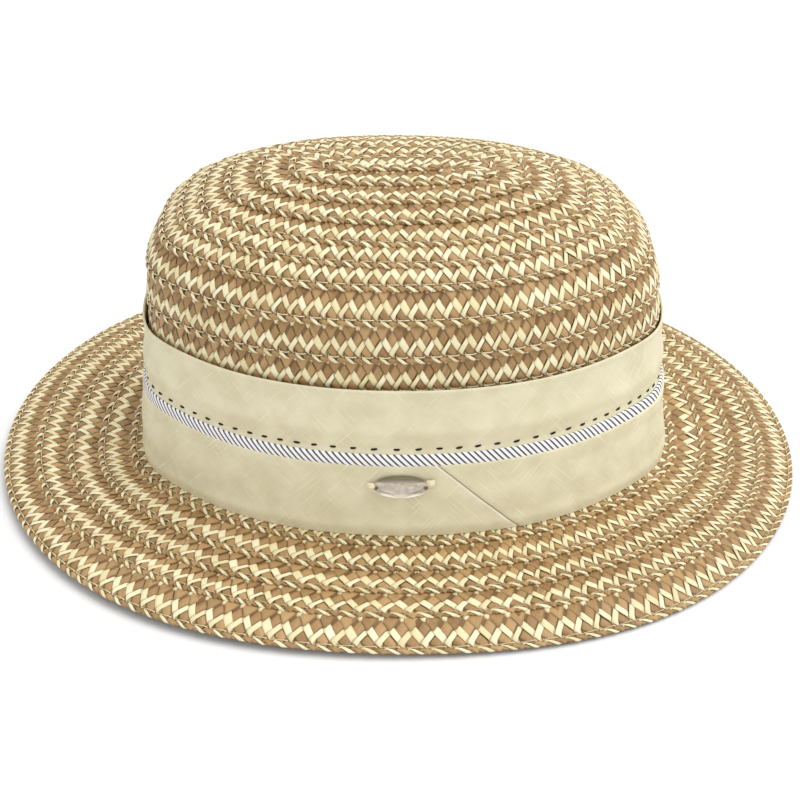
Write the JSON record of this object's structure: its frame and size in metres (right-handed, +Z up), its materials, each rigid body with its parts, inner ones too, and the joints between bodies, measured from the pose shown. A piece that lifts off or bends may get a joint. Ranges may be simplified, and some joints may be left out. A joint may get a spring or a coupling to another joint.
{
  "type": "straw boater hat",
  "caption": "Straw boater hat: oval crown with a rounded tip, flat-rimmed brim, cream cloth band with a striped ribbon, and a small oval metal plate.",
  "frame": {"origin": "middle of the bounding box's underside, on the surface that the brim's rim stands on", "axes": "+Z up through the crown, X along the head from end to end, -Y out of the front of the band with the plate"},
  "size_m": [0.312, 0.274, 0.1154],
  "materials": {
    "straw": "plaited straw braid, tan and cream",
    "cloth": "cream linen, matte",
    "piping": "white ribbon with thin slanting dark stripes",
    "badge": "worn silver, satin"
  },
  "bodies": {
    "root": {"crown": "straw", "brim": "straw", "band_lower": "cloth", "piping": "piping", "band_upper": "cloth", "badge": "badge"}
  },
  "joints": []
}
